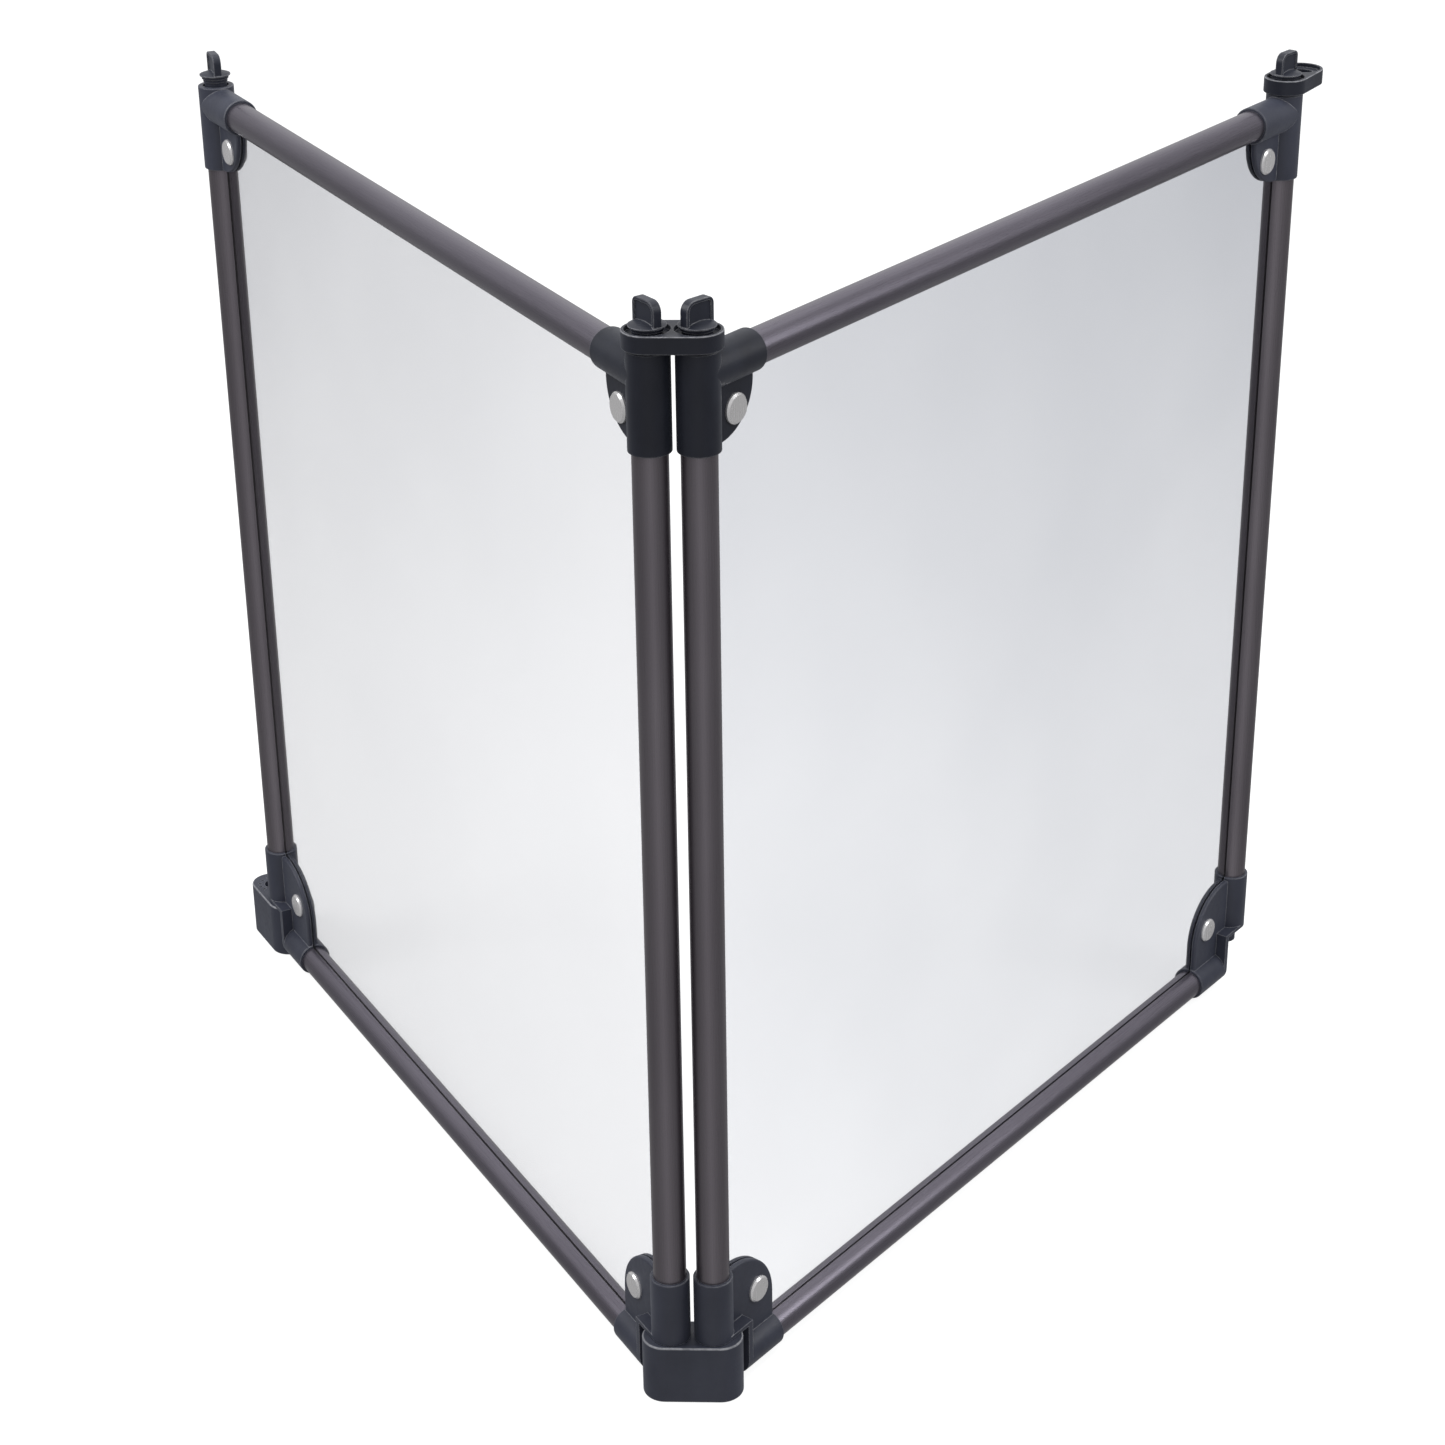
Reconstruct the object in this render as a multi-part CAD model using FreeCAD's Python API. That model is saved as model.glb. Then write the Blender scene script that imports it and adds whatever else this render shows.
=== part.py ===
import FreeCAD, Part
import math
import os

from FreeCAD import Placement, Rotation, Vector

# A two-panel folding screen. Two frames of round tube hold clear sheets and hinge on a foot block
# and a link plate, which join their two inner posts. Millimetres, +Z up, the floor is Z = 0 and
# the origin is under the middle of the centre foot block. X runs through both inner posts, and
# both panels stand on the +Y side of them.

# Driving dimensions
TUBE_R = 12.5            # frame tube, outside radius
TUBE_WALL = 1.5
POST_PITCH = 32.4        # from post axis to post axis in a foot block or link plate
PANEL_WIDTH = 778.0      # from post axis to post axis in one panel
PANEL_HEIGHT = 802.0     # from rail axis to rail axis
LEFT_OPENING = 59.0      # degrees from the line of the posts to each panel, as it stands
RIGHT_OPENING = 54.0
OUTER_FOOT_SWING = 0.0   # degrees that the outer foot block stands off its panel's line
OUTER_LINK_SWING = 5.0   # the same for the outer link plate
LEFT_INNER_KNOB = 7.0    # degrees that each knob's wing stands off its panel's line
LEFT_OUTER_KNOB = -7.0
RIGHT_INNER_KNOB = -8.0
RIGHT_OUTER_KNOB = -2.0
FLOOR_GAP = 2.6          # from the floor to the lower sleeves

# Corner fittings
SLEEVE_R = 15.0          # outside radius of the sleeves that take the tubes
FIT_GAP = 0.05           # radial gap of a pushed or turning fit
LIP_ROUND = 0.9
EAR_THICKNESS = 9.6
EDGE_ROUND = 1.8
SHEET_THICKNESS = 1.5
SLOT_WIDTH = 1.9
SHEET_BITE = 3.6         # how far the sheet reaches inside the tube's outside radius

# Upper fitting, heights from the top rail's axis and reaches from the post's axis
UPPER_SLEEVE_BOTTOM = -54.3
COLLAR_TOP = 16.3
UPPER_REACH = 55.0
UPPER_EAR_R = 38.0
UPPER_EAR_X = 15.0
UPPER_EAR_Z = -16.2
UPPER_RIVET = (32.5, -33.5)
UPPER_TUBE_END = -22.0
RAIL_TUBE_START = 17.0
COLLAR_MOUTH_R = 10.8
COLLAR_MOUTH_DEPTH = 8.0
KEYWAY_R = 10.6
KEYWAY_WIDTH = 4.8
LOCK_CHAMBER_R = 11.0
LOCK_CHAMBER_TOP = -8.4
UPPER_SHEET_CUT = 42.0   # |x| + |z| of the sheet's cut corner, from post and rail axes

# Lower fitting, heights from the bottom rail's axis
LOWER_SLEEVE_BOTTOM = 33.4
LOWER_SLEEVE_TOP = 88.2
LOWER_REACH = 68.5
LOWER_EAR_TOP = 85.4
LOWER_EAR_R = 47.6
LOWER_EAR_X = 20.4
LOWER_RIVET = (48.5, 49.8)
LOWER_TUBE_END = 39.5
LOWER_SHEET_CUT = 71.0
WEB_X = 24.0             # from the post's axis to the end web that closes the rail sleeve
WEB_THICKNESS = 5.0
SHELF_THICKNESS = 3.2
PIN_R = 7.4
PIN_LENGTH = 17.0
PIN_CHAMFER = 1.2

# Foot block
FOOT_HALF_LENGTH = 38.4
FOOT_HALF_DEPTH = 17.5
POST_CLEARANCE = 0.4     # from the foot block's top to the post sleeves
FOOT_EDGE = 1.6
SOCKET_DEPTH = 19.0
NOTCH_COUNT = 12
NOTCH_RING_R = 12.0
NOTCH_LENGTH = 3.4
NOTCH_WIDTH = 1.5
NOTCH_DEPTH = 1.6

# Link plate, heights from the top rail's axis
PLATE_BOTTOM = 17.3
PLATE_TOP = 29.7
PLATE_END_R = 17.5
PLATE_EDGE = 0.8
POCKET_R = 15.4
POCKET_DEPTH = 3.4

# Knob, heights from the underside of its flange
FLANGE_R = 12.9
FLANGE_RIM = 1.2
FLANGE_ROUND = 0.4
FLANGE_DOME = 2.4        # how far the flange rises from its rim to its middle
BOSS_R = 11.2
BOSS_HEIGHT = 2.4
STEP_R = 10.2
STEP_LOW = 4.9
NECK_R = 9.3
NECK_LOW = 12.9
SHANK_R = 8.0
SHANK_LOW = 46.0
LUG_R = 10.2
LUG_WIDTH = 4.0
LUG_HEIGHT = 3.0
KNOB_SEAT = 31.6         # underside of the flange with a link plate under it
KNOB_SEAT_BARE = 24.6    # and without one
WING_LENGTH = 24.2
WING_HEIGHT = 18.4
WING_THICKNESS = 6.6
WING_BIG_R = 7.5
WING_SMALL_R = 5.0
WING_FRAME = 2.2
WING_RECESS = 1.0
WING_EDGE = 0.6

# Rivet
RIVET_HEAD_R = 10.8
RIVET_HEAD_HEIGHT = 2.8
RIVET_RIM = 1.4
RIVET_SHANK_R = 3.5
RIVET_BORE_R = 2.4
RIVET_HOLE_R = 3.6

RAIL_Z = FLOOR_GAP + SLEEVE_R
TOP_Z = RAIL_Z + PANEL_HEIGHT
FOOT_HEIGHT = RAIL_Z + LOWER_SLEEVE_BOTTOM - POST_CLEARANCE
HALF_PITCH = POST_PITCH / 2
Z_AXIS = Vector(0, 0, 1)


def rod(radius, start, end, axis="z"):
    """A cylinder along the named axis, from one coordinate to another."""
    direction = {"x": Vector(1, 0, 0), "y": Vector(0, 1, 0), "z": Z_AXIS}[axis]
    return Part.makeCylinder(radius, end - start, direction * start, direction)


def block(x, y, z):
    """A box between pairs of coordinates."""
    size = (x[1] - x[0], y[1] - y[0], z[1] - z[0])
    return Part.makeBox(*size, Vector(x[0], y[0], z[0]))


def round_ends(shape, radius, levels, axis="z"):
    """Rounds the flat edges that lie at the given coordinates along an axis."""
    index = "xyz".index(axis)
    edges = [
        edge for edge in shape.Edges
        for level in levels
        if all(abs(vertex.Point[index] - level) < 1e-6 for vertex in edge.Vertexes)
        and abs(edge.CenterOfMass[index] - level) < 1e-6
    ]
    return shape.makeFillet(radius, edges)


def joined(shapes):
    """One clean solid from overlapping pieces."""
    return shapes[0].multiFuse(shapes[1:]).removeSplitter()


def without(shape, cutters):
    return shape.cut(Part.makeCompound(cutters))


def prism_y(points, half_width):
    """A plate across the panel, from an outline in X and Z.

    Each entry is (x, z), or (x, z, x_mid, z_mid) to arrive by an arc through a middle point.
    """
    edges = []
    last = Vector(points[-1][0], -half_width, points[-1][1])
    for point in points:
        here = Vector(point[0], -half_width, point[1])
        if len(point) == 4:
            middle = Vector(point[2], -half_width, point[3])
            edges.append(Part.Arc(last, middle, here).toShape())
        else:
            edges.append(Part.LineSegment(last, here).toShape())
        last = here
    return Part.Face(Part.Wire(edges)).extrude(Vector(0, 2 * half_width, 0))


def quarter_point(x, z, radius, upward):
    """The middle point of a quarter arc about (x, z)."""
    step = radius * math.sqrt(0.5)
    return x + step, z + step * upward


def ear_plate(outline, side, level):
    """An ear, rounded on both faces along its arc, its straight side and its level edge."""
    plate = prism_y(outline, EAR_THICKNESS / 2)
    free = [
        edge for edge in plate.Edges
        if isinstance(edge.Curve, Part.Circle)
        or abs(edge.CenterOfMass.x - side) < 1e-6
        or abs(edge.CenterOfMass.z - level) < 1e-6
    ]
    rim = [edge for edge in free if abs(abs(edge.CenterOfMass.y) - EAR_THICKNESS / 2) < 1e-6]
    return plate.makeFillet(EDGE_ROUND, rim)


def sheet_slot(upward, cut, reach):
    """The gap between an ear's cheeks, with the sheet's cut corner left solid."""
    inside = TUBE_R - SHEET_BITE - 0.4
    rim = cut - inside - 0.6
    far = reach
    outline = [(inside, rim), (inside, far), (far, far), (far, inside), (rim, inside)]
    return prism_y([(x, z * upward) for x, z in outline], SLOT_WIDTH / 2)


def upper_fitting():
    """Tee with a collar for the knob, a sleeve for each tube and a slotted ear."""
    post = round_ends(
        rod(SLEEVE_R, UPPER_SLEEVE_BOTTOM, COLLAR_TOP),
        LIP_ROUND, [UPPER_SLEEVE_BOTTOM, COLLAR_TOP],
    )
    rail = round_ends(rod(SLEEVE_R, 0, UPPER_REACH, "x"), LIP_ROUND, [UPPER_REACH], "x")
    side = UPPER_EAR_X + UPPER_EAR_R
    low = UPPER_EAR_Z - UPPER_EAR_R
    middle = quarter_point(UPPER_EAR_X, UPPER_EAR_Z, UPPER_EAR_R, -1)
    outline = [(0, 0), (side, 0), (side, UPPER_EAR_Z), (UPPER_EAR_X, low, *middle), (0, low)]
    ear = ear_plate(outline, side, low)
    mouth = COLLAR_TOP - COLLAR_MOUTH_DEPTH
    x, z = UPPER_RIVET
    rivet_hole = rod(RIVET_HOLE_R, -SLEEVE_R, SLEEVE_R, "y")
    rivet_hole.translate(Vector(x, 0, z))
    key_half = KEYWAY_WIDTH / 2
    keyways = block((-key_half, key_half), (-KEYWAY_R, KEYWAY_R), (LOCK_CHAMBER_TOP - 1, mouth))
    return without(joined([post, rail, ear]), [
        rod(TUBE_R + FIT_GAP, UPPER_SLEEVE_BOTTOM - 1, UPPER_TUBE_END + 0.3),
        rod(TUBE_R + FIT_GAP, RAIL_TUBE_START - 0.3, UPPER_REACH + 1, "x"),
        rod(COLLAR_MOUTH_R, mouth, COLLAR_TOP + 1),
        rod(SHANK_R + FIT_GAP, LOCK_CHAMBER_TOP - 1, mouth + 1),
        rod(LOCK_CHAMBER_R, UPPER_TUBE_END, LOCK_CHAMBER_TOP),
        keyways,
        sheet_slot(-1, UPPER_SHEET_CUT, UPPER_REACH + 5),
        rivet_hole,
    ])


def lower_fitting():
    """Post sleeve on a pin, rail sleeve closed by a web, a shelf between them and a slotted ear."""
    shelf_top = LOWER_SLEEVE_BOTTOM + SHELF_THICKNESS
    post = round_ends(
        rod(SLEEVE_R, LOWER_SLEEVE_BOTTOM, LOWER_SLEEVE_TOP), LIP_ROUND, [LOWER_SLEEVE_TOP],
    )
    rail = round_ends(
        rod(SLEEVE_R, WEB_X, LOWER_REACH, "x"), LIP_ROUND, [LOWER_REACH], "x",
    )
    web_end = WEB_X + WEB_THICKNESS
    web = block((WEB_X, web_end), (-SLEEVE_R, SLEEVE_R), (0, shelf_top))
    shelf = block((0, web_end), (-SLEEVE_R, SLEEVE_R), (LOWER_SLEEVE_BOTTOM, shelf_top))
    side = LOWER_EAR_X + LOWER_EAR_R
    ear_z = LOWER_EAR_TOP - LOWER_EAR_R
    middle = quarter_point(LOWER_EAR_X, ear_z, LOWER_EAR_R, 1)
    outline = [
        (0, LOWER_EAR_TOP), (0, LOWER_SLEEVE_BOTTOM), (WEB_X, LOWER_SLEEVE_BOTTOM), (WEB_X, 0),
        (side, 0), (side, ear_z), (LOWER_EAR_X, LOWER_EAR_TOP, *middle),
    ]
    ear = ear_plate(outline, side, LOWER_EAR_TOP)
    pin = rod(PIN_R, LOWER_SLEEVE_BOTTOM - PIN_LENGTH, LOWER_SLEEVE_BOTTOM + 1)
    pin = pin.makeChamfer(PIN_CHAMFER, [pin.Edges[2]])
    x, z = LOWER_RIVET
    rivet_hole = rod(RIVET_HOLE_R, -SLEEVE_R, SLEEVE_R, "y")
    rivet_hole.translate(Vector(x, 0, z))
    return without(joined([post, rail, web, shelf, ear, pin]), [
        rod(TUBE_R + FIT_GAP, LOWER_TUBE_END - 0.3, LOWER_SLEEVE_TOP + 1),
        rod(TUBE_R + FIT_GAP, web_end + 1.2, LOWER_REACH + 1, "x"),
        sheet_slot(1, LOWER_SHEET_CUT, LOWER_SLEEVE_TOP + 5),
        rivet_hole,
    ])


def slotted_tube(length):
    """A tube along +Z from the origin, with its slot facing +X."""
    outside = Part.makeCylinder(TUBE_R, length)
    inside = Part.makeCylinder(TUBE_R - TUBE_WALL, length)
    slot = block((0, TUBE_R + 1), (-SLOT_WIDTH / 2, SLOT_WIDTH / 2), (0, length))
    return outside.cut(inside).cut(slot)


def clear_sheet():
    """The sheet in its panel's frame, with cut corners and a hole for each rivet."""
    edge = TUBE_R - SHEET_BITE
    far_x = PANEL_WIDTH - edge
    low = edge
    high = PANEL_HEIGHT - edge
    lower = LOWER_SHEET_CUT - edge
    upper = UPPER_SHEET_CUT - edge
    sheet = prism_y([
        (lower, low), (PANEL_WIDTH - lower, low), (far_x, lower), (far_x, PANEL_HEIGHT - upper),
        (PANEL_WIDTH - upper, high), (upper, high), (edge, PANEL_HEIGHT - upper), (edge, lower),
    ], SHEET_THICKNESS / 2)
    holes = []
    for x, z in rivet_places():
        hole = rod(RIVET_HOLE_R + 0.4, -SHEET_THICKNESS, SHEET_THICKNESS, "y")
        hole.translate(Vector(x, 0, z))
        holes.append(hole)
    sheet = without(sheet, holes)
    sheet.translate(Vector(0, 0, RAIL_Z))
    return sheet


def rivet_places():
    """X and height above the bottom rail's axis of a panel's four rivets."""
    rows = [LOWER_RIVET, (UPPER_RIVET[0], PANEL_HEIGHT + UPPER_RIVET[1])]
    return [(x, z) for reach, z in rows for x in (reach, PANEL_WIDTH - reach)]


def rivet_head():
    """A flat head with a sloping rim, standing on the ear's face towards +Y."""
    face = EAR_THICKNESS / 2
    top = face + RIVET_HEAD_HEIGHT
    head = rod(RIVET_HEAD_R, face, top, "y")
    rim = [edge for edge in head.Edges if abs(edge.CenterOfMass.y - top) < 1e-6]
    return head.makeChamfer(RIVET_RIM, rim)


def rivet_post():
    """Head and hollow shank, through the ear from the +Y side."""
    shank = rod(RIVET_SHANK_R, -EAR_THICKNESS / 2 + 0.2, EAR_THICKNESS / 2, "y")
    bore = rod(RIVET_BORE_R, -EAR_THICKNESS, EAR_THICKNESS / 2 - 1, "y")
    return joined([rivet_head(), shank]).cut(bore)


def rivet_cap():
    """Head and pin, which fills the hollow shank from the -Y side."""
    pin = rod(RIVET_BORE_R - FIT_GAP, -EAR_THICKNESS / 2 + 1.4, EAR_THICKNESS / 2, "y")
    cap = joined([rivet_head(), pin])
    cap.rotate(Vector(), Z_AXIS, 180)
    return cap


def domed_flange():
    """A round flange with a thin rounded rim and a domed top."""
    rim = round_ends(rod(FLANGE_R, 0, FLANGE_RIM), FLANGE_ROUND, [0, FLANGE_RIM])
    base = FLANGE_R - FLANGE_ROUND
    ball_r = (base ** 2 + FLANGE_DOME ** 2) / (2 * FLANGE_DOME)
    peak = FLANGE_RIM + FLANGE_DOME
    ball = Part.makeSphere(ball_r, Vector(0, 0, peak - ball_r))
    return joined([rim, ball.common(rod(FLANGE_R, FLANGE_RIM / 2, peak + 1))])


def knob():
    """Wing on a domed flange, with a shank and two lugs that lock under the collar's ledge."""
    boss = rod(BOSS_R, -BOSS_HEIGHT, 0.5)
    step = rod(STEP_R, -STEP_LOW, 0)
    neck = rod(NECK_R, -NECK_LOW, 0)
    shank = rod(SHANK_R, -SHANK_LOW, 0)
    lugs = rod(LUG_R, -SHANK_LOW, LUG_HEIGHT - SHANK_LOW).common(
        block((-LUG_R, LUG_R), (-LUG_WIDTH / 2, LUG_WIDTH / 2), (-SHANK_LOW, 0)))
    return joined([domed_flange(), boss, step, neck, shank, lugs, wing()])


def wing_outline(inset, foot):
    """The wing's outline, drawn in by an inset and standing on the height foot."""
    left = -WING_LENGTH / 2 + inset
    right = WING_LENGTH / 2 - inset
    top = WING_HEIGHT - inset
    big = WING_BIG_R - inset
    small = WING_SMALL_R - inset
    big_turn = big * (1 - math.sqrt(0.5))
    small_turn = small * (1 - math.sqrt(0.5))
    return [
        (left, foot), (left, top - big), (left + big, top, left + big_turn, top - big_turn),
        (right - small, top), (right, top - small, right - small_turn, top - small_turn),
        (right, foot),
    ]


def wing():
    """The grip, with a frame round a recess on each face."""
    grip = prism_y(wing_outline(0, 0.5), WING_THICKNESS / 2)
    outer = [
        edge for edge in grip.Edges
        if abs(abs(edge.CenterOfMass.y) - WING_THICKNESS / 2) < 1e-6 and edge.CenterOfMass.z > 1
    ]
    grip = grip.makeFillet(WING_EDGE, outer)
    recess = prism_y(wing_outline(WING_FRAME, FLANGE_RIM), WING_RECESS / 2)
    for face in (-1, 1):
        cutter = recess.copy()
        cutter.translate(Vector(0, face * (WING_THICKNESS - WING_RECESS) / 2, 0))
        grip = grip.cut(cutter)
    return grip


def stadium(half_straight, radius, low, high):
    """A block with round ends along X."""
    ends = [rod(radius, low, high) for _ in range(2)]
    ends[0].translate(Vector(-half_straight, 0, 0))
    ends[1].translate(Vector(half_straight, 0, 0))
    middle = block((-half_straight, half_straight), (-radius, radius), (low, high))
    return joined([middle, *ends])


def foot_block():
    """A solid foot with two ringed sockets for the posts' pins."""
    body = stadium(FOOT_HALF_LENGTH - FOOT_HALF_DEPTH, FOOT_HALF_DEPTH, 0, FOOT_HEIGHT)
    body = round_ends(body, FOOT_EDGE, [0, FOOT_HEIGHT])
    cutters = []
    for x in (-HALF_PITCH, HALF_PITCH):
        socket = rod(PIN_R + 0.1, FOOT_HEIGHT - SOCKET_DEPTH, FOOT_HEIGHT + 1)
        socket.translate(Vector(x, 0, 0))
        cutters.append(socket)
        for step in range(NOTCH_COUNT):
            notch = block(
                (NOTCH_RING_R - NOTCH_LENGTH / 2, NOTCH_RING_R + NOTCH_LENGTH / 2),
                (-NOTCH_WIDTH / 2, NOTCH_WIDTH / 2),
                (FOOT_HEIGHT - NOTCH_DEPTH, FOOT_HEIGHT + 1),
            )
            notch.rotate(Vector(), Z_AXIS, step * 360 / NOTCH_COUNT)
            notch.translate(Vector(x, 0, 0))
            cutters.append(notch)
    return without(body, cutters)


def link_plate():
    """A plate with a raised rim, a round pocket and a hole over each post."""
    body = stadium(HALF_PITCH, PLATE_END_R, PLATE_BOTTOM, PLATE_TOP)
    body = round_ends(body, PLATE_EDGE, [PLATE_BOTTOM, PLATE_TOP])
    cutters = []
    for x in (-HALF_PITCH, HALF_PITCH):
        for radius, low in ((POCKET_R, PLATE_TOP - POCKET_DEPTH), (NECK_R + 0.1, PLATE_BOTTOM - 1)):
            cutter = rod(radius, low, PLATE_TOP + 1)
            cutter.translate(Vector(x, 0, 0))
            cutters.append(cutter)
    return without(body, cutters)


def placed(shape, x, y, z, turn):
    """A copy turned about Z by degrees, then moved."""
    copy = shape.copy()
    copy.Placement = Placement(Vector(x, y, z), Rotation(Z_AXIS, turn)).multiply(copy.Placement)
    return copy


def save(name, shape):
    if not shape.isValid():
        raise ValueError(name + " isn't a valid shape")
    shape.exportStep("parts/" + name + ".step")


def panel_nodes(side, rivet_turn):
    """A panel in its own frame: X from the inner to the outer post, Y across it.

    The rivets' posts go in from the +Y side, or from -Y with a rivet_turn of 180.
    """
    post = slotted_tube(PANEL_HEIGHT + UPPER_TUBE_END - LOWER_TUBE_END)
    post_z = RAIL_Z + LOWER_TUBE_END
    lower_start = WEB_X + WEB_THICKNESS + 1.5
    rails = {}
    for name, start, height, slot_turn in (
        ("bottom_rail", lower_start, RAIL_Z, 180), ("top_rail", RAIL_TUBE_START, TOP_Z, 0),
    ):
        rail = slotted_tube(PANEL_WIDTH - 2 * start)
        rail.rotate(Vector(), Z_AXIS, slot_turn)
        rail.rotate(Vector(), Vector(0, 1, 0), 90)
        rails[name] = placed(rail, start, 0, height, 0)
    rivets = {}
    for name, rivet in (("rivet_posts", rivet_post()), ("rivet_caps", rivet_cap())):
        rivets[name] = Part.makeCompound([
            placed(rivet, x, 0, RAIL_Z + z, rivet_turn) for x, z in rivet_places()])
    upper = upper_fitting()
    lower = lower_fitting()
    return {
        side + "_inner_post": placed(post, 0, 0, post_z, 0),
        side + "_outer_post": placed(post, PANEL_WIDTH, 0, post_z, 180),
        side + "_bottom_rail": rails["bottom_rail"],
        side + "_top_rail": rails["top_rail"],
        side + "_clear_sheet": clear_sheet(),
        side + "_upper_inner_fitting": placed(upper, 0, 0, TOP_Z, 0),
        side + "_upper_outer_fitting": placed(upper, PANEL_WIDTH, 0, TOP_Z, 180),
        side + "_lower_inner_fitting": placed(lower, 0, 0, RAIL_Z, 0),
        side + "_lower_outer_fitting": placed(lower, PANEL_WIDTH, 0, RAIL_Z, 180),
        side + "_rivet_posts": rivets["rivet_posts"],
        side + "_rivet_caps": rivets["rivet_caps"],
    }


def main():
    os.makedirs("parts", exist_ok=True)
    grip = knob()
    foot = foot_block()
    plate = link_plate()
    left_turn = 180 - LEFT_OPENING
    right_turn = RIGHT_OPENING
    for side, x, turn, rivet_turn in (
        ("left", -HALF_PITCH, left_turn, 0), ("right", HALF_PITCH, right_turn, 180),
    ):
        for name, shape in panel_nodes(side, rivet_turn).items():
            save(name, placed(shape, x, 0, 0, turn))
    for name, reach, seat, swing, x, turn in (
        ("left_inner_knob", 0, KNOB_SEAT, LEFT_INNER_KNOB, -HALF_PITCH, left_turn),
        ("left_outer_knob", PANEL_WIDTH, KNOB_SEAT_BARE, LEFT_OUTER_KNOB, -HALF_PITCH, left_turn),
        ("right_inner_knob", 0, KNOB_SEAT, RIGHT_INNER_KNOB, HALF_PITCH, right_turn),
        ("right_outer_knob", PANEL_WIDTH, KNOB_SEAT, RIGHT_OUTER_KNOB, HALF_PITCH, right_turn),
    ):
        save(name, placed(placed(grip, reach, 0, TOP_Z + seat, swing), x, 0, 0, turn))
    save("centre_foot_block", foot)
    save("centre_link_plate", placed(plate, 0, 0, TOP_Z, 0))
    for name, piece, height, swing, x, turn in (
        ("outer_foot_block", foot, 0, OUTER_FOOT_SWING, -HALF_PITCH, left_turn),
        ("outer_link_plate", plate, TOP_Z, OUTER_LINK_SWING, HALF_PITCH, right_turn),
    ):
        swung = placed(placed(piece, HALF_PITCH, 0, height, 0), 0, 0, 0, swing)
        save(name, placed(placed(swung, PANEL_WIDTH, 0, 0, 0), x, 0, 0, turn))


main()
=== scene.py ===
import math

import bpy
from mathutils import Euler, Matrix, Vector


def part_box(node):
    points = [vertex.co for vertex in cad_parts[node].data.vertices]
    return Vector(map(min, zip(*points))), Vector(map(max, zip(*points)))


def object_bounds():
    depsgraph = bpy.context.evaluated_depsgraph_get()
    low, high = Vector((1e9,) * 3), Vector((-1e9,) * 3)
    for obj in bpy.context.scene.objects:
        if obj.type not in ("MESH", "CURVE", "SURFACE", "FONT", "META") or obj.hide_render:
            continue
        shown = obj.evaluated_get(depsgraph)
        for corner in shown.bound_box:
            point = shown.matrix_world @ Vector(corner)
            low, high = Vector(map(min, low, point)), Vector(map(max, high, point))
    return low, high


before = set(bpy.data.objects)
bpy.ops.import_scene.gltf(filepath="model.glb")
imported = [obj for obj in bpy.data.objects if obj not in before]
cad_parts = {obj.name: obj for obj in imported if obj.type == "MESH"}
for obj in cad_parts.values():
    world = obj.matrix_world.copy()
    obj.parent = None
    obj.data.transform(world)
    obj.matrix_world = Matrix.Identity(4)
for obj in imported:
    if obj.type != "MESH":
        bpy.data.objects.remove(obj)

# Looks of a two-panel folding screen: anodised tube frames with moulded fittings, nickel rivets
# and clear sheets. Metres, +Z up, the floor is Z = 0.

cad_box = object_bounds()

MM = 0.001
SIDES = ("left", "right")

# Camera
CAMERA_PLACE = (0.1029, -1.8975, 1.5011)
CAMERA_TILT = 26.194     # degrees below the horizontal
CAMERA_YAW = 2.233       # degrees to the left of +Y
CAMERA_ROLL = -0.777
CAMERA_LENS = 77.23

# Studio
FLOOR_REACH = 14.0
FLOOR_COLOUR = (0.35, 0.35, 0.35)
FLOOR_GLOW = 0.84
SKY_BRIGHTNESS = [(0.0, 0.50), (0.30, 0.55), (0.50, 0.60), (0.62, 0.80), (1.0, 1.15)]
SKY_AT_SIDES = 0.34      # how much of it is left towards -X and +X
BACKDROP = 1.1           # brightness of the sky where it is seen directly

# Colours, linear
POST_COLOURS = ((0.155, 0.137, 0.160), (0.200, 0.180, 0.206))
# Rails: the posts' tube given a bluer tint, a painted reflection of the light from above
RAIL_COLOURS_SKY_TINTED = ((0.146, 0.134, 0.172), (0.186, 0.172, 0.216))
TUBE_STREAK = (0.30, 0.285, 0.295)
# Painted highlight on the tubes' sharp edges
TUBE_EDGE_HIGHLIGHT = (0.42, 0.41, 0.41)
# One fitting plastic in two copies: the darker one is painted shade (upper inner fittings, link plates),
# the paler one painted light (other fittings, feet)
SHADED_FITTING_PLASTIC = ((0.0115, 0.0130, 0.0205), (0.0185, 0.0208, 0.0320))
LIT_FITTING_PLASTIC = ((0.0270, 0.0300, 0.0470), (0.0400, 0.0440, 0.0660))
KNOB_PLASTIC = ((0.0150, 0.0172, 0.0280), (0.0240, 0.0272, 0.0420))
PLASTIC_SHEEN = (0.80, 0.86, 1.0)
# Painted highlight on the plastic's edges and rims
PLASTIC_EDGE_HIGHLIGHT = (0.330, 0.335, 0.360)
NICKEL_COLOURS = ((0.86, 0.85, 0.86), (0.82, 0.81, 0.82))

# Painted reflection on each sheet: what each face lets through at its inner foot and at its outer top,
# darker towards the top in place of reflections, and the fade's power
LEFT_SHEET = ((0.952, 0.954, 0.962), (0.762, 0.767, 0.786), 1.9)
RIGHT_SHEET = ((0.945, 0.948, 0.956), (0.685, 0.694, 0.720), 1.0)
SHEET_RISE = 0.66        # share of the fade that comes from height
SHEET_OUTWARD = 0.34     # and from the distance along the panel
HEAD_ON_SHINE = 0.04     # share of light that a sheet reflects straight back


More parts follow.
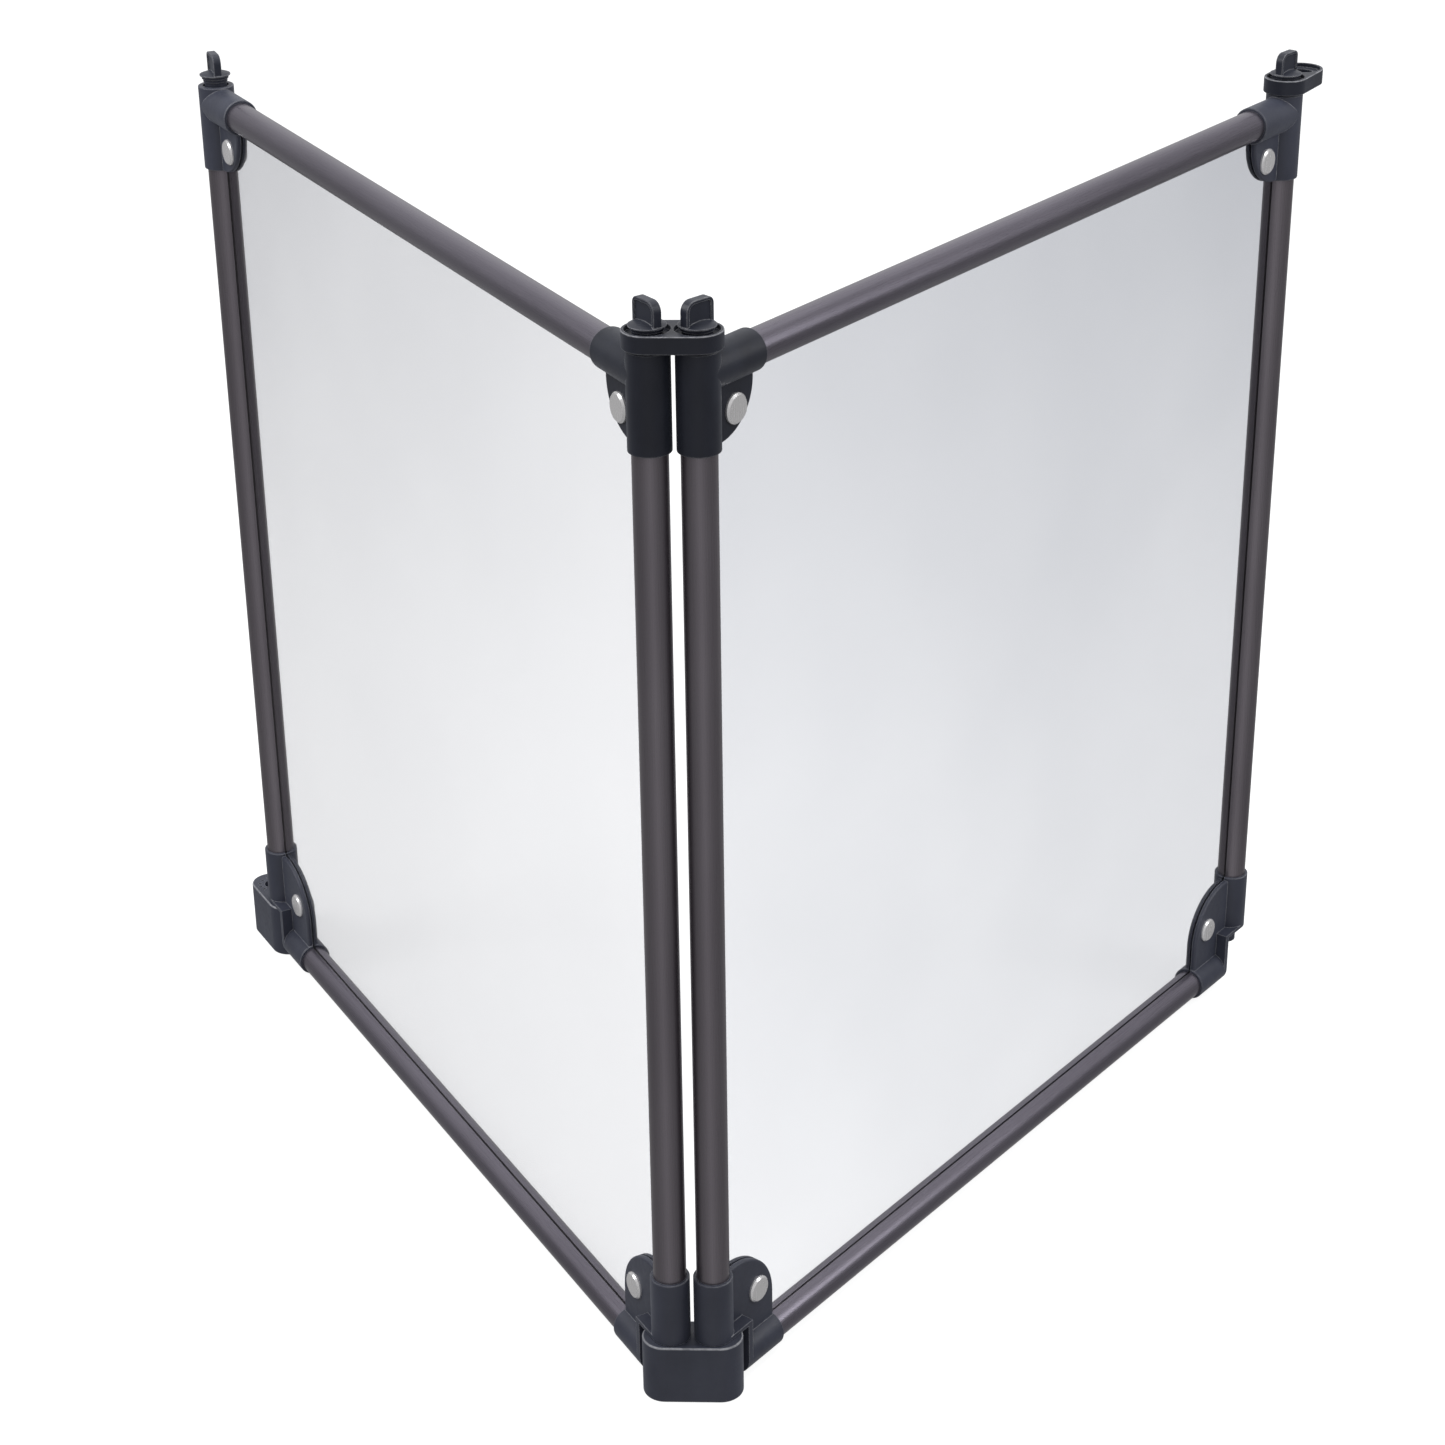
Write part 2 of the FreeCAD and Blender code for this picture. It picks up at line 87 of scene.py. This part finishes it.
class Tree:
    """A material's node tree, with one short call for each node."""

    def __init__(self, name):
        self.material = bpy.data.materials.new(name)
        self.material.use_nodes = True
        self.nodes = self.material.node_tree.nodes
        self.links = self.material.node_tree.links
        self.nodes.clear()

    def add(self, kind, inputs=None, **settings):
        """Adds a node. An input is a number, a colour or another node's output socket."""
        node = self.nodes.new(kind)
        for key, value in settings.items():
            setattr(node, key, value)
        for key, value in (inputs or {}).items():
            if isinstance(value, bpy.types.NodeSocket):
                self.links.new(value, node.inputs[key])
            else:
                node.inputs[key].default_value = value
        return node

    def place(self, scale=(1, 1, 1), turn=0.0):
        """The object's own coordinates, turned about Z by degrees and then scaled."""
        coordinates = self.add("ShaderNodeTexCoord").outputs["Object"]
        turned = self.add("ShaderNodeVectorRotate", {"Vector": coordinates, "Angle": math.radians(turn)},
                          rotation_type="Z_AXIS").outputs[0]
        return self.add("ShaderNodeVectorMath", {0: turned, 1: scale}, operation="MULTIPLY").outputs[0]

    def noise(self, scale, place=None, detail=3.0, roughness=0.55):
        """Noise from 0 to 1, with its scale in waves per metre."""
        vector = place or self.place()
        return self.add("ShaderNodeTexNoise", {
            "Vector": vector, "Scale": scale, "Detail": detail, "Roughness": roughness,
        }).outputs["Fac"]

    def spread(self, value, low, high, start=0.0, end=1.0):
        """Maps a value from low..high to start..end, held at both ends."""
        return self.add("ShaderNodeMapRange", {
            "Value": value, "From Min": low, "From Max": high, "To Min": start, "To Max": end,
        }).outputs[0]

    def math(self, operation, first, second=0.0):
        return self.add("ShaderNodeMath", {0: first, 1: second}, operation=operation).outputs[0]

    def mix(self, factor, first, second):
        """A mix of two colours."""
        node = self.add("ShaderNodeMix", data_type="RGBA")
        sockets = (node.inputs["Factor"], node.inputs[6], node.inputs[7])
        for socket, value in zip(sockets, (factor, first, second)):
            if isinstance(value, bpy.types.NodeSocket):
                self.links.new(value, socket)
            elif isinstance(value, tuple):
                socket.default_value = (*value, 1.0)
            else:
                socket.default_value = value
        return node.outputs[2]

    def soft_edges(self, radius, samples=4):
        """The surface's normal, with sharp edges rounded for the light."""
        return self.add("ShaderNodeBevel", {"Radius": radius}, samples=samples).outputs[0]

    def edge_highlight_mask(self, rounded, low=0.003, high=0.06):
        """1 on sharp edges and 0 on the faces between them, where painted highlights go."""
        normal = self.add("ShaderNodeNewGeometry").outputs["Normal"]
        facing = self.add("ShaderNodeVectorMath", {0: rounded, 1: normal},
                          operation="DOT_PRODUCT").outputs["Value"]
        return self.spread(self.math("SUBTRACT", 1.0, facing), low, high)

    def rim_highlight_mask(self):
        """1 on the rounded rims between a level face and an upright one, and 0 on both faces, where a
        painted highlight line goes.
        """
        normal = self.add("ShaderNodeNewGeometry").outputs["Normal"]
        rise = self.add("ShaderNodeSeparateXYZ", {0: normal}).outputs["Z"]
        return self.math("MULTIPLY", self.spread(rise, 0.10, 0.45), self.spread(rise, 0.995, 0.92))

    def bump(self, height, distance, normal, strength=1.0):
        return self.add("ShaderNodeBump", {
            "Height": height, "Distance": distance, "Strength": strength, "Normal": normal,
        }).outputs[0]

    def finish(self, shader):
        self.add("ShaderNodeOutputMaterial", {"Surface": shader.outputs[0]})
        return self.material


def anodised_tube(name, colours, turn=None):
    """Satin anodised aluminium. The drawing lines run up the tube, or along a rail at a turn."""
    tree = Tree(name)
    if turn is None:
        lines = tree.place((1.0, 1.0, 0.012))
        drift = tree.place((1.0, 1.0, 0.25))
    else:
        lines = tree.place((0.012, 1.0, 1.0), -turn)
        drift = tree.place((0.25, 1.0, 1.0), -turn)
    rounded = tree.soft_edges(0.35 * MM)
    streaks = tree.noise(2600.0, lines, 4.0, 0.6)
    broad = tree.noise(16.0, drift, 2.0)
    grain = tree.noise(5200.0, None, 2.0, 0.5)
    colour = tree.mix(tree.spread(broad, 0.3, 0.7), *colours)
    shade = tree.spread(streaks, 0.3, 0.7, 0.30, 0.62)
    colour = tree.mix(tree.math("MULTIPLY", shade, 0.35), colour, TUBE_STREAK)
    # Painted highlight: sharp edges are lightened for the light they catch
    colour = tree.mix(tree.edge_highlight_mask(rounded), colour, TUBE_EDGE_HIGHLIGHT)
    rough = tree.math("ADD", tree.spread(streaks, 0.25, 0.75, 0.25, 0.32),
                      tree.spread(grain, 0.3, 0.7, -0.02, 0.05))
    normal = tree.bump(streaks, 0.010 * MM, rounded, 0.5)
    normal = tree.bump(grain, 0.006 * MM, normal, 0.5)
    return tree.finish(tree.add("ShaderNodeBsdfPrincipled", {
        "Base Color": colour, "Metallic": 0.82, "Roughness": rough, "Normal": normal,
    }))


def moulded_plastic(name, colours, gloss, rough, grain_size, grain_depth, has_rim_highlight=False):
    """Dark moulded plastic with a fine spark grain, faint flow marks and painted highlights on its
    edges.
    """
    tree = Tree(name)
    pale = colours[1]
    rounded = tree.soft_edges(0.9 * MM)
    grain = tree.noise(1.0 / grain_size, None, 3.0, 0.62)
    flow = tree.noise(34.0, tree.place((1.0, 1.0, 0.45)), 3.0)
    cloud = tree.noise(210.0, None, 3.0)
    mixed = tree.mix(tree.spread(flow, 0.32, 0.70), *colours)
    fleck = tree.spread(grain, 0.56, 0.76, 0.0, 0.25)
    mixed = tree.mix(fleck, mixed, tuple(1.9 * part for part in pale))
    # Painted highlight: edges, and level rims where asked, are lightened in blotches for the light they
    # catch
    edges = tree.edge_highlight_mask(rounded)
    if has_rim_highlight:
        edges = tree.math("MAXIMUM", edges, tree.rim_highlight_mask())
    painted_edge_highlight = tree.math("MULTIPLY", edges, tree.spread(cloud, 0.35, 0.62, 0.45, 0.90))
    mixed = tree.mix(painted_edge_highlight, mixed, PLASTIC_EDGE_HIGHLIGHT)
    roughness = tree.math("ADD", tree.spread(cloud, 0.3, 0.7, rough - 0.05, rough + 0.05),
                          tree.spread(grain, 0.3, 0.7, -0.03, 0.04))
    normal = tree.bump(grain, grain_depth, rounded, 0.8)
    return tree.finish(tree.add("ShaderNodeBsdfPrincipled", {
        "Base Color": mixed, "Roughness": roughness, "Normal": normal, "Specular IOR Level": gloss,
        "Sheen Weight": 0.10, "Sheen Roughness": 0.45, "Sheen Tint": (*PLASTIC_SHEEN, 1.0),
    }))


def nickel(name):
    """Bright plating with fine scratches and a slight cloudiness."""
    tree = Tree(name)
    rounded = tree.soft_edges(0.30 * MM)
    scratches = tree.noise(900.0, tree.place((1.0, 1.0, 0.05), 20.0), 4.0, 0.7)
    cloud = tree.noise(190.0, None, 3.0)
    colour = tree.mix(tree.spread(cloud, 0.35, 0.72), *NICKEL_COLOURS)
    rough = tree.math("ADD", tree.spread(cloud, 0.3, 0.7, 0.22, 0.28),
                      tree.spread(scratches, 0.55, 0.75, 0.0, 0.10))
    normal = tree.bump(scratches, 0.004 * MM, rounded, 0.5)
    return tree.finish(tree.add("ShaderNodeBsdfPrincipled", {
        "Base Color": colour, "Metallic": 0.6, "Roughness": rough, "Normal": normal,
    }))


def clear_plastic(name, near_tint, far_tint, curve):
    """A clear sheet with a painted fade: light keeps near_tint at its inner foot and far_tint at its
    outer top, darker there in place of the reflections in the sheet.
    """
    tree = Tree(name)
    bottom, top = cad_box[0][2], cad_box[1][2]
    place = tree.add("ShaderNodeSeparateXYZ", {0: tree.place()}).outputs
    # Painted reflection: the tint darkens with height and outward along the panel, with a broad wobble
    rise = tree.spread(place["Z"], bottom, top, 0.0, SHEET_RISE)
    outward = tree.spread(tree.math("ABSOLUTE", place["X"]), 0.0, cad_box[1][0], 0.0, SHEET_OUTWARD)
    painted_fade_wobble = tree.spread(tree.noise(3.2, None, 2.0), 0.3, 0.7, -0.06, 0.06)
    level = tree.math("ADD", tree.math("ADD", rise, outward), painted_fade_wobble)
    tint = tree.mix(tree.math("POWER", level, curve), near_tint, far_tint)
    through = tree.add("ShaderNodeBsdfTransparent", {"Color": tint})
    smear = tree.noise(22.0, None, 4.0)
    rough = tree.spread(smear, 0.35, 0.7, 0.03, 0.075)
    mirror = tree.add("ShaderNodeBsdfGlossy", {"Color": (1.0, 1.0, 1.0, 1.0), "Roughness": rough})
    grazing = tree.add("ShaderNodeLayerWeight", {"Blend": 0.5}).outputs["Facing"]
    rim_shine = tree.math("MULTIPLY", tree.math("POWER", grazing, 5.0), 1.0 - HEAD_ON_SHINE)
    share = tree.math("ADD", rim_shine, HEAD_ON_SHINE)
    mixed = tree.add("ShaderNodeMixShader", {0: share, 1: through.outputs[0], 2: mirror.outputs[0]})
    return tree.finish(mixed)


def give(node_names, material):
    """Every slot of each CAD node takes the material."""
    for name in node_names:
        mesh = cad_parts[name].data
        if not mesh.materials:
            mesh.materials.append(material)
        for index in range(len(mesh.materials)):
            mesh.materials[index] = material


def rail_turn(side):
    """Degrees from X to the line of a panel, from its bottom rail's place."""
    low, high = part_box(side + "_bottom_rail")
    turn = math.degrees(math.atan2(high[1] - low[1], high[0] - low[0]))
    return turn if side == "right" else 180 - turn


def dress():
    """Gives every CAD node its material."""
    post_finish = anodised_tube("anodised post", POST_COLOURS)
    # The same plastic twice: the darker copy is painted shade, the paler copy painted light
    dark = moulded_plastic("shaded fitting plastic", SHADED_FITTING_PLASTIC, 0.28, 0.42, 0.34 * MM, 0.020 * MM)
    pale = moulded_plastic("lit fitting plastic", LIT_FITTING_PLASTIC, 0.45, 0.46, 0.34 * MM, 0.020 * MM)
    plate = moulded_plastic("plate plastic", SHADED_FITTING_PLASTIC, 0.28, 0.42, 0.34 * MM, 0.020 * MM, True)
    foot = moulded_plastic("foot plastic", LIT_FITTING_PLASTIC, 0.45, 0.50, 0.42 * MM, 0.026 * MM, True)
    grip = moulded_plastic("knob plastic", KNOB_PLASTIC, 0.35, 0.40, 0.30 * MM, 0.014 * MM)
    plating = nickel("nickel")
    sheets = {
        "left": clear_plastic("left clear sheet", *LEFT_SHEET),
        "right": clear_plastic("right clear sheet", *RIGHT_SHEET),
    }
    for side in SIDES:
        give([side + "_inner_post", side + "_outer_post"], post_finish)
        # the rails take the bluer colours, a painted reflection of light from above
        rail_finish = anodised_tube("anodised rail " + side, RAIL_COLOURS_SKY_TINTED, rail_turn(side))
        give([side + "_bottom_rail", side + "_top_rail"], rail_finish)
        # the upper inner fittings carry painted shade, the other fittings painted light, in their
        # colours
        give([side + "_upper_inner_fitting"], dark)
        for corner in ("upper_outer", "lower_inner", "lower_outer"):
            give([side + "_" + corner + "_fitting"], pale)
        give([side + "_inner_knob", side + "_outer_knob"], grip)
        give([side + "_rivet_posts", side + "_rivet_caps"], plating)
        give([side + "_clear_sheet"], sheets[side])
    give(["centre_foot_block", "outer_foot_block"], foot)
    give(["centre_link_plate", "outer_link_plate"], plate)


def floor():
    """A plain pale floor."""
    mesh = bpy.data.meshes.new("floor")
    reach = FLOOR_REACH
    corners = [(-reach, -reach, 0), (reach, -reach, 0), (reach, reach, 0), (-reach, reach, 0)]
    mesh.from_pydata(corners, [], [(0, 1, 2, 3)])
    piece = bpy.data.objects.new("floor", mesh)
    bpy.context.scene.collection.objects.link(piece)
    tree = Tree("pale floor")
    mesh.materials.append(tree.finish(tree.add("ShaderNodeBsdfPrincipled", {
        "Base Color": (*FLOOR_COLOUR, 1.0), "Roughness": 0.9, "Specular IOR Level": 0.0,
        "Emission Color": (1.0, 1.0, 1.0, 1.0), "Emission Strength": FLOOR_GLOW,
    })))
    piece.visible_diffuse = False
    piece.visible_glossy = False


def sky():
    """Soft light all round, brighter above and dimmer at the sides, with a pale backdrop."""
    world = bpy.data.worlds.new("studio")
    bpy.context.scene.world = world
    world.use_nodes = True
    nodes = world.node_tree.nodes
    links = world.node_tree.links
    nodes.clear()
    direction = nodes.new("ShaderNodeTexCoord")
    split = nodes.new("ShaderNodeSeparateXYZ")
    links.new(direction.outputs["Generated"], split.inputs[0])
    rise = nodes.new("ShaderNodeMapRange")
    rise.inputs["From Min"].default_value = -1.0
    links.new(split.outputs["Z"], rise.inputs["Value"])
    ramp = nodes.new("ShaderNodeValToRGB")
    steps = ramp.color_ramp.elements
    while len(steps) < len(SKY_BRIGHTNESS):
        steps.new(0.5)
    for step, (place, light) in zip(steps, SKY_BRIGHTNESS):
        step.position = place
        step.color = (light, light, light, 1.0)
    links.new(rise.outputs[0], ramp.inputs[0])
    sideways = nodes.new("ShaderNodeMath")
    sideways.operation = "ABSOLUTE"
    links.new(split.outputs["X"], sideways.inputs[0])
    shade = nodes.new("ShaderNodeMapRange")
    shade.inputs["To Min"].default_value = 1.0
    shade.inputs["To Max"].default_value = SKY_AT_SIDES
    links.new(sideways.outputs[0], shade.inputs["Value"])
    background = nodes.new("ShaderNodeBackground")
    links.new(ramp.outputs[0], background.inputs["Color"])
    links.new(shade.outputs[0], background.inputs["Strength"])
    backdrop = nodes.new("ShaderNodeBackground")
    backdrop.inputs["Color"].default_value = (1.0, 1.0, 1.0, 1.0)
    backdrop.inputs["Strength"].default_value = BACKDROP
    seen = nodes.new("ShaderNodeLightPath").outputs["Is Camera Ray"]
    choice = nodes.new("ShaderNodeMixShader")
    links.new(seen, choice.inputs[0])
    links.new(background.outputs[0], choice.inputs[1])
    links.new(backdrop.outputs[0], choice.inputs[2])
    output = nodes.new("ShaderNodeOutputWorld")
    links.new(choice.outputs[0], output.inputs["Surface"])


def softbox(name, place, target, size, power):
    """A rectangular area light that faces a point."""
    lamp = bpy.data.lights.new(name, "AREA")
    lamp.shape = "RECTANGLE"
    lamp.size, lamp.size_y = size
    lamp.energy = power
    piece = bpy.data.objects.new(name, lamp)
    bpy.context.scene.collection.objects.link(piece)
    piece.location = place
    piece.rotation_euler = (Vector(target) - Vector(place)).to_track_quat("-Z", "Y").to_euler()


def lights():
    middle = (0.0, 0.25, 0.45)
    softbox("key", (-2.4, 0.0, 2.2), middle, (1.2, 1.8), 36)
    softbox("fill", (2.5, 0.0, 1.9), middle, (1.2, 1.8), 26)
    softbox("top", (0.0, 0.6, 3.2), (0.0, 0.4, 0.0), (3.0, 3.0), 24)


def camera():
    lens = bpy.data.cameras.new("camera")
    lens.lens = CAMERA_LENS
    lens.sensor_width = 36.0
    piece = bpy.data.objects.new("camera", lens)
    bpy.context.scene.collection.objects.link(piece)
    aim = Euler((math.radians(90 - CAMERA_TILT), 0, math.radians(CAMERA_YAW))).to_matrix()
    turn = aim @ Matrix.Rotation(math.radians(CAMERA_ROLL), 3, "Z")
    piece.matrix_world = Matrix.Translation(CAMERA_PLACE) @ turn.to_4x4()
    bpy.context.scene.camera = piece


bpy.context.scene.view_settings.view_transform = "Standard"
dress()
floor()
sky()
lights()
camera()
